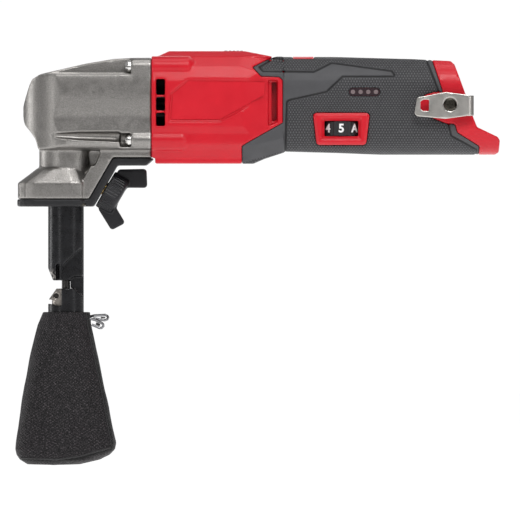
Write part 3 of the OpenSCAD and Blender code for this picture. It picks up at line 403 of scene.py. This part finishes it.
# ---------------------------------------------------------------- level-set modelling
def curved_triangles(node, steps=3):
    """A node's triangles, each divided and bulged to follow its corner normals, in mm."""
    mesh = nodes[node].data
    mesh.calc_loop_triangles()
    count = len(mesh.loop_triangles)
    corners = np.empty(count * 3, np.int32)
    mesh.loop_triangles.foreach_get("loops", corners)
    vertex_of = np.empty(len(mesh.loops), np.int32)
    mesh.loops.foreach_get("vertex_index", vertex_of)
    place = np.empty(len(mesh.vertices) * 3, np.float32)
    mesh.vertices.foreach_get("co", place)
    normal = np.empty(len(mesh.loops) * 3, np.float32)
    mesh.corner_normals.foreach_get("vector", normal)
    p = place.reshape(-1, 3)[vertex_of[corners]].reshape(-1, 3, 3).astype(np.float64) / MM
    n = normal.reshape(-1, 3)[corners].reshape(-1, 3, 3).astype(np.float64)

    def control(i, j):
        reach = ((p[:, j] - p[:, i]) * n[:, i]).sum(1, keepdims=True)
        return (2 * p[:, i] + p[:, j] - reach * n[:, i]) / 3

    b = {(i, j): control(i, j) for i in range(3) for j in range(3) if i != j}
    edges = sum(b.values()) / 6
    centre = edges + (edges - p.sum(1) / 3) / 2
    grid = [(i, j) for i in range(steps + 1) for j in range(steps + 1 - i)]
    index = {key: k for k, key in enumerate(grid)}
    rows = []
    for i, j in grid:
        v, w = i / steps, j / steps
        u = 1 - v - w
        rows.append(p[:, 0] * u ** 3 + p[:, 1] * v ** 3 + p[:, 2] * w ** 3
                    + 3 * (b[0, 1] * u * u * v + b[0, 2] * u * u * w + b[1, 0] * u * v * v
                           + b[1, 2] * v * v * w + b[2, 0] * u * w * w + b[2, 1] * v * w * w)
                    + 6 * centre * u * v * w)
    points = np.stack(rows, 1)
    small = []
    for i, j in grid:
        if (i + 1, j) in index and (i, j + 1) in index:
            small.append((index[i, j], index[i + 1, j], index[i, j + 1]))
        if (i + 1, j + 1) in index and (i + 1, j) in index and (i, j + 1) in index:
            small.append((index[i + 1, j], index[i + 1, j + 1], index[i, j + 1]))
    small = np.array(small)
    start = (np.arange(count) * len(grid))[:, None, None]
    return points.reshape(-1, 3), (start + small[None]).reshape(-1, 3)


class Solid:
    """A signed distance field in millimetres, negative inside, on a regular grid."""

    def __init__(self, node, voxel, steps=3, margin=8):
        points, triangles = curved_triangles(node, steps)
        self.voxel = voxel
        transform = openvdb.createLinearTransform(voxelSize=voxel)
        grid = openvdb.FloatGrid.createLevelSetFromPolygons(
            points.astype(np.float32), triangles=triangles.astype(np.uint32),
            transform=transform, halfWidth=margin)
        low, high = grid.evalActiveVoxelBoundingBox()
        self.low = np.array(low) - 1
        self.field = np.empty(np.array(high) - np.array(low) + 3, np.float32)
        grid.copyToArray(self.field, ijk=tuple(int(c) for c in self.low))

    def axes(self):
        """The grid's x, y and z in millimetres, shaped to broadcast."""
        lines = [(self.low[k] + np.arange(self.field.shape[k])) * self.voxel for k in range(3)]
        return np.meshgrid(*[line.astype(np.float32) for line in lines], indexing="ij", sparse=True)

    def soften(self, radius):
        """Rounds every edge, with radius as the blur's standard deviation in millimetres."""
        spread = radius / self.voxel
        reach = max(1, int(math.ceil(3 * spread)))
        weights = np.exp(-0.5 * (np.arange(-reach, reach + 1) / spread) ** 2)
        weights /= weights.sum()
        for axis in range(3):
            pad = [(reach, reach) if k == axis else (0, 0) for k in range(3)]
            padded = np.pad(self.field, pad, mode="edge")
            size = self.field.shape[axis]
            total = np.zeros_like(self.field)
            for k, weight in enumerate(weights):
                part = [slice(None)] * 3
                part[axis] = slice(k, k + size)
                total += np.float32(weight) * padded[tuple(part)]
            self.field = total
        return self

    def cut(self, tool):
        self.field = np.maximum(self.field, -tool).astype(np.float32)
        return self

    def piece(self, name, merging=0.01):
        """The surface as a smooth-shaded mesh whose normals are the field's own slope.
        merging above 0 joins faces where the surface is flat."""
        grid = openvdb.FloatGrid(float(self.field.max()))
        grid.copyFromArray(self.field, ijk=tuple(int(c) for c in self.low))
        grid.transform = openvdb.createLinearTransform(voxelSize=self.voxel)
        grid.gridClass = openvdb.GridClass.LEVEL_SET
        points, triangles, quads = grid.convertToPolygons(isovalue=0.0, adaptivity=merging)
        place = points / self.voxel - self.low
        cell = np.clip(np.floor(place).astype(int), 1, np.array(self.field.shape) - 3)
        part = place - cell
        slope = np.zeros((len(points), 3))
        for dx in (0, 1):
            for dy in (0, 1):
                for dz in (0, 1):
                    at = (cell[:, 0] + dx, cell[:, 1] + dy, cell[:, 2] + dz)
                    share = (np.abs(1 - dx - part[:, 0]) * np.abs(1 - dy - part[:, 1])
                             * np.abs(1 - dz - part[:, 2]))
                    for k in range(3):
                        ahead, behind = list(at), list(at)
                        ahead[k] = at[k] + 1
                        behind[k] = at[k] - 1
                        rise = self.field[tuple(ahead)] - self.field[tuple(behind)]
                        slope[:, k] += share * rise
        slope /= np.maximum(np.linalg.norm(slope, axis=1, keepdims=True), 1e-9)
        corner = points[quads]
        across = np.cross(corner[:, 2] - corner[:, 0], corner[:, 3] - corner[:, 1])
        if (across * slope[quads[:, 0]]).sum() < 0:
            triangles, quads = triangles[:, ::-1], quads[:, ::-1]
        corners = np.concatenate([triangles.ravel(), quads.ravel()]).astype(np.int32)
        starts = np.concatenate([np.arange(0, triangles.size, 3),
                                 np.arange(triangles.size, len(corners), 4)]).astype(np.int32)
        mesh = bpy.data.meshes.new(name)
        mesh.vertices.add(len(points))
        mesh.vertices.foreach_set("co", (points * MM).astype(np.float32).ravel())
        mesh.loops.add(len(corners))
        mesh.loops.foreach_set("vertex_index", corners)
        mesh.polygons.add(len(starts))
        mesh.polygons.foreach_set("loop_start", starts)
        mesh.polygons.foreach_set("use_smooth", np.ones(len(starts), bool))
        mesh.update(calc_edges=True)
        mesh.validate()
        mesh.normals_split_custom_set_from_vertices(slope)
        made = bpy.data.objects.new(name, mesh)
        bpy.context.collection.objects.link(made)
        return made


def line_distance(x, z, points):
    """Distance in the x-z plane from a polyline, in millimetres."""
    best = None
    ends = points[1:]
    for (x0, z0), (x1, z1) in zip(points, ends):
        dx, dz = x1 - x0, z1 - z0
        t = np.clip(((x - x0) * dx + (z - z0) * dz) / (dx * dx + dz * dz), 0, 1)
        gap = (x - x0 - t * dx) ** 2 + (z - z0 - t * dz) ** 2
        best = gap if best is None else np.minimum(best, gap)
    return np.sqrt(best)


def inside(x, z, points):
    """True where a point of the x-z plane lies in the polygon."""
    odd = np.zeros(np.broadcast(x, z).shape, bool)
    for (x0, z0), (x1, z1) in zip(points, points[1:] + points[:1]):
        if z0 != z1:
            crosses = ((z0 > z) != (z1 > z)) & (x < (x1 - x0) * (z - z0) / (z1 - z0) + x0)
            odd ^= crosses
    return odd


# ---------------------------------------------------------------- finishing a piece
def stand_for(made, node, body, slot):
    made.data.materials.append(materials[slot])
    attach(made, body)
    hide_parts(node)
    return made


def give_attribute(made, name, values):
    layer = made.data.attributes.new(name, "FLOAT", "POINT")
    layer.data.foreach_set("value", np.asarray(values, np.float32).ravel())


def vertices_of(made):
    place = np.empty(len(made.data.vertices) * 3, np.float32)
    made.data.vertices.foreach_get("co", place)
    return place.reshape(-1, 3) / MM


SLOT_OF = {entry["node"]: entry["material_slot"] for entry in frame["record"]["subparts"]}


def dress_cad_nodes():
    """Gives every CAD node its procedural material."""
    for name, node in nodes.items():
        node.data.materials.clear()
        node.data.materials.append(materials[SLOT_OF[name]])


# ---------------------------------------------------------------- the head
def head_casting():
    solid = Solid("gear_case", 0.45)
    solid.soften(0.42)
    return stand_for(solid.piece("gear_case_casting"), "gear_case", "tool_body", "cast_case")


def cover():
    solid = Solid("base_cover", 0.45)
    solid.soften(0.5)
    return stand_for(solid.piece("base_cover_boot"), "base_cover", "tool_body", "black_cover")


# ---------------------------------------------------------------- housing and grip
SMOOTH_ZONE = [(119, 131.2), (110.2, 125.7), (112.4, 123.4), (141, 123.1), (151.4, 128.3),
               (185.3, 123.6), (186.9, 121.5), (186.4, 120.4), (157.5, 120.4), (148.2, 111.7),
               (126.9, 107), (125.8, 105.8), (125, 78.4), (95, 70), (95, 140)]


def housing(side, name):
    """A clamshell half, with the bars of its front vent set back."""
    solid = Solid("housing_" + side, 0.45)
    x, y, z = solid.axes()
    vent = np.maximum(np.abs(x - 54.1) - 2.6, np.abs(z - 105.65) - 13.4)
    solid.cut(np.maximum(vent, 26.3 - np.abs(y)))
    solid.soften(0.3)
    return stand_for(solid.piece(name), "housing_" + side, "tool_body", "red_moulding")


def rubber(side, name):
    solid = Solid("grip_" + side, 0.48)
    x, y, z = solid.axes()
    zone_line = SMOOTH_ZONE[:13]
    foot_strip = [(205.7, 130), (205.7, 128.4), (211.6, 113.2), (217.4, 94.3), (219.2, 86.7),
                  (233.7, 79.1), (233.7, 76)]
    reach = 0.4
    for path in (zone_line, foot_strip):
        groove = line_distance(x, z, path) - reach
        solid.cut(np.maximum(groove, -(solid.field + 0.7)) + 0 * y)
    solid.soften(0.36)
    made = solid.piece(name, merging=0)
    place = vertices_of(made)
    across, up = place[:, 1], place[:, 2] - 104.1
    give_attribute(made, "along", place[:, 0])
    give_attribute(made, "around", np.arctan2(np.abs(across), up) * 25.5)
    textured = ~inside(place[:, 0], place[:, 2], SMOOTH_ZONE)
    beyond = inside(place[:, 0], place[:, 2], foot_strip + [(300, 60), (300, 150)])
    zone_gap = line_distance(place[:, 0], place[:, 2], zone_line)
    foot_gap = line_distance(place[:, 0], place[:, 2], foot_strip)
    gap = np.minimum(zone_gap, foot_gap)
    give_attribute(made, "dots", textured * ~beyond * np.clip((gap - 0.6) / 0.4, 0, 1))
    # Painted shade along the grooves: line is 1 in the groove and fades out beside it.
    give_attribute(made, "line", np.clip((0.72 - gap) / 0.3, 0, 1))
    return stand_for(made, "grip_" + side, "tool_body", "grip_rubber")


def holder():
    solid = Solid("die_holder", 0.38)
    solid.soften(0.22)
    made = solid.piece("die_holder_tube", merging=0)
    place = vertices_of(made)
    nose = np.clip((11.5 - place[:, 2]) / 3, 0, 1) * np.clip((place[:, 2] - 2) / 2, 0, 1)
    give_attribute(made, "worn", nose * np.clip((-5.4 - place[:, 0]) / 1.2, 0, 1))
    return stand_for(made, "die_holder", "die_head", "black_oxide")


def softened(node, name, body, voxel, radius, steps=3):
    solid = Solid(node, voxel, steps)
    solid.soften(radius)
    return stand_for(solid.piece(name), node, body, SLOT_OF[node])


# ---------------------------------------------------------------- speed dial digits
def digits():
    low, high = span("speed_dial")
    centre = (low + high) / 2
    radius = (high[0] - low[0]) / 2
    step = math.radians(42)
    for k, text in enumerate(("1", "2", "3", "4", "5", "A")):
        curve = bpy.data.curves.new("digit_" + text, "FONT")
        curve.body = text
        curve.size = 6.7 * MM
        curve.extrude = 0.12 * MM
        curve.align_x = "CENTER"
        curve.align_y = "CENTER"
        curve.resolution_u = 4
        curve.offset = 0.2 * MM
        lettering = bpy.data.objects.new("digit_holder", curve)
        bpy.context.collection.objects.link(lettering)
        bpy.context.view_layer.update()
        scene_graph = bpy.context.evaluated_depsgraph_get()
        mesh = bpy.data.meshes.new_from_object(lettering.evaluated_get(scene_graph))
        bpy.data.objects.remove(lettering)
        turn = (k - 4) * step - math.pi / 2
        for vertex in mesh.vertices:
            flat_x, flat_y, lift = vertex.co / MM
            angle = turn + flat_x / radius
            reach = radius + lift
            vertex.co = Vector((centre[0] + reach * math.cos(angle),
                                centre[1] + reach * math.sin(angle), centre[2] + flat_y)) * MM
        digit = bpy.data.objects.new("dial_digit_" + text, mesh)
        mesh.materials.clear()
        mesh.materials.append(white_paint)
        bpy.context.collection.objects.link(digit)
        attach(digit, "dial")


# ---------------------------------------------------------------- chip bag
# Bag silhouette by height: (z, left x, right x, half depth, squareness).
BAG_LEVELS = [(-13.6, -13.1, 13.7, 13.0, 2.0), (-20.6, -16.1, 14.5, 13.8, 2.2),
              (-36, -20.0, 17.5, 15.4, 2.5), (-55.5, -23.7, 21.8, 17.6, 2.8),
              (-75, -26.8, 25.8, 20.0, 3.1), (-88, -28.7, 28.7, 21.4, 3.4),
              (-91.5, -29.0, 28.0, 21.4, 3.4), (-94.6, -28.2, 25.0, 20.6, 3.2),
              (-97.6, -26.0, 19.0, 18.6, 3.0), (-100.1, -21.8, 8.0, 13.5, 2.6)]


# Seams on the front of the bag, as (x, z).
BOTTOM_SEAM = [(-25, -96.2), (-5, -96.9), (8, -95.2), (15, -93.1), (26.6, -90)]
SIDE_SEAM = [(11.6, -14.4), (12.6, -22), (15.4, -36), (19.8, -56), (25.4, -86), (25.8, -90)]


def bag_level(z):
    table = np.array(BAG_LEVELS)[::-1]
    return [float(np.interp(z, table[:, 0], table[:, k])) for k in range(1, 5)]


def make_bag():
    around, rows = 144, 96
    top, bottom = BAG_LEVELS[0][0], BAG_LEVELS[-1][0]
    points, weft, warp = [], [], []

    def ring(z, left, right, depth, power):
        girth = math.pi * (right - left + 2 * depth) / 2
        for k in range(around):
            angle = 2 * math.pi * k / around
            c, s = math.cos(angle), math.sin(angle)
            reach = (abs(c) ** power + abs(s) ** power) ** (-1 / power)
            x = (left + right) / 2 + reach * c * (right - left) / 2
            y = reach * s * depth
            points.append(Vector((x, y, z)) * MM)
            weft.append(angle * 17)
            warp.append(z)

    # the doubled hem: up the inside, over the lip and down the outside
    for z, radius in ((-23.5, 10.75), (-19, 10.75), (-15.4, 10.8), (-14.2, 11.0), (-13.5, 11.7),
                      (-13.4, 12.5)):
        ring(z, -radius, radius, radius, 2.0)
    for i in range(rows + 1):
        z = top + (bottom - top) * i / rows
        left, right, depth, power = bag_level(z)
        ring(z, left, right, depth, power)
    for share in (0.86, 0.66, 0.42, 0.18):
        left, right, depth, power = bag_level(bottom)
        middle = (left + right) / 2
        ring(bottom - 0.5 * (1 - share), middle + (left - middle) * share,
             middle + (right - middle) * share, depth * share, power)
    total = len(points) // around
    faces = []
    for r in range(total - 1):
        for k in range(around):
            a, b = r * around + k, r * around + (k + 1) % around
            faces.append((a, a + around, b + around, b))
    points.append(Vector(((left + right) / 2, 0, bottom - 0.6)) * MM)
    weft.append(0)
    warp.append(bottom)
    last = (total - 1) * around
    for k in range(around):
        faces.append((last + k, len(points) - 1, last + (k + 1) % around))
    mesh = bpy.data.meshes.new("chip_bag_cloth")
    mesh.from_pydata([tuple(p) for p in points], [], faces)
    mesh.polygons.foreach_set("use_smooth", [True] * len(mesh.polygons))
    bag = bpy.data.objects.new("chip_bag_cloth", mesh)
    bpy.context.collection.objects.link(bag)
    give_attribute(bag, "weft", weft)
    give_attribute(bag, "warp", warp)
    crumple(bag, 6 * around)
    place = vertices_of(bag)
    # Painted shadow of the seam beads: a band just below the bottom seam and just right of the side seam,
    # on the front only.
    gap = np.minimum(line_distance(place[:, 0], place[:, 2] + 1.1, BOTTOM_SEAM),
                     line_distance(place[:, 0] - 0.9, place[:, 2], SIDE_SEAM))
    give_attribute(bag, "seam_shadow", np.clip(1.5 - gap, 0, 1) * (place[:, 1] < 0))
    skin = bag.modifiers.new("thickness", "SOLIDIFY")
    skin.thickness = 0.9 * MM
    skin.offset = -1
    return stand_for(bag, "chip_bag", "bag", "bag_fabric")


def crumple(bag, first):
    """Gathers under the hem, soft dents lower down and folds at the bottom corners."""
    for vertex in list(bag.data.vertices)[first:]:
        x, y, z = vertex.co / MM
        down = (BAG_LEVELS[0][0] - z) / 87
        angle = math.atan2(y, x)
        away = Vector((math.cos(angle), math.sin(angle), 0))
        start = min(1, down / 0.06)
        gather = math.sin(angle * 9 + 2 * math.sin(angle * 2 + 1)) * math.exp(-((down - 0.12) / 0.12) ** 2)
        dent = noise.noise(Vector((x, y, z)) * 0.045 + Vector((3.1, 7.7, 1.3)))
        ripple = noise.noise(Vector((x * 0.16, y * 0.16, z * 0.07)) + Vector((11, 5, 2)))
        corner = math.exp(-((down - 0.93) / 0.07) ** 2)
        side = abs(math.sin(angle))
        push = start * (0.45 * gather * side + 2.2 * dent * side * math.sin(math.pi * min(1, down))
                        + 0.35 * ripple)
        push += 1.2 * corner * side * noise.noise(Vector((x, y, z)) * 0.11)
        vertex.co = (Vector((x, y, z)) + away * push) * MM


def seam(bag, name, path, radius):
    """A rolled seam that follows the cloth's front where the x-z path runs."""
    surface = BVHTree.FromObject(bag, bpy.context.evaluated_depsgraph_get())
    line, sides = [], 8
    for (x0, z0), (x1, z1) in zip(path, path[1:]):
        count = max(2, int(math.hypot(x1 - x0, z1 - z0) / 1.2))
        line += [(x0 + (x1 - x0) * k / count, z0 + (z1 - z0) * k / count) for k in range(count)]
    rings = []
    for x, z in line:
        hit = surface.ray_cast(Vector((x, -60, z)) * MM, Vector((0, 1, 0)))[0]
        if hit:
            rings.append(hit / MM + Vector((0, 0.25 * radius, 0)))
    points, faces = [], []
    for k, centre in enumerate(rings):
        along = (rings[min(k + 1, len(rings) - 1)] - rings[max(k - 1, 0)]).normalized()
        out = along.cross(Vector((0, 1, 0))).normalized()
        over = along.cross(out)
        for j in range(sides):
            angle = 2 * math.pi * j / sides
            points.append((centre + radius * (out * math.cos(angle) + over * math.sin(angle))) * MM)
    for k in range(len(rings) - 1):
        for j in range(sides):
            a, b = k * sides + j, k * sides + (j + 1) % sides
            faces.append((a, b, b + sides, a + sides))
    faces += [tuple(range(sides)), tuple(range(len(points) - 1, len(points) - sides - 1, -1))]
    mesh = bpy.data.meshes.new(name)
    mesh.from_pydata([tuple(p) for p in points], [], faces)
    mesh.polygons.foreach_set("use_smooth", [True] * len(mesh.polygons))
    mesh.materials.append(materials["bag_seam"])
    bead = bpy.data.objects.new(name, mesh)
    bpy.context.collection.objects.link(bead)
    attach(bead, "bag")
    return bead


# ---------------------------------------------------------------- build
make_camera()
make_studio()
floor = make_floor()
materials = make_materials()
white_paint = moulded("dial_digit_white", (0.8, 0.8, 0.8), 0.45)
floor.data.materials.append(floor_white())
dress_cad_nodes()
head_casting()
cover()
housing("left", "housing_left_shell")
housing("right", "housing_right_shell")
rubber("left", "grip_left_rubber")
rubber("right", "grip_right_rubber")
softened("dial_bezel", "dial_bezel_frame", "tool_body", 0.25, 0.3)
softened("lock_knob", "lock_knob_body", "knob", 0.3, 0.28)
holder()
softened("die", "die_block", "die_head", 0.2, 0.18)
softened("belt_clip", "belt_clip_strip", "tool_body", 0.22, 0.16, 1)
softened("speed_dial", "speed_dial_wheel", "dial", 0.28, 0.2)
softened("power_slide", "power_slide_cap", "slide_switch", 0.25, 0.2)
digits()
bag = make_bag()
seams = [seam(bag, "bag_bottom_seam", BOTTOM_SEAM, 0.6),
         seam(bag, "bag_side_seam", SIDE_SEAM, 0.4)]
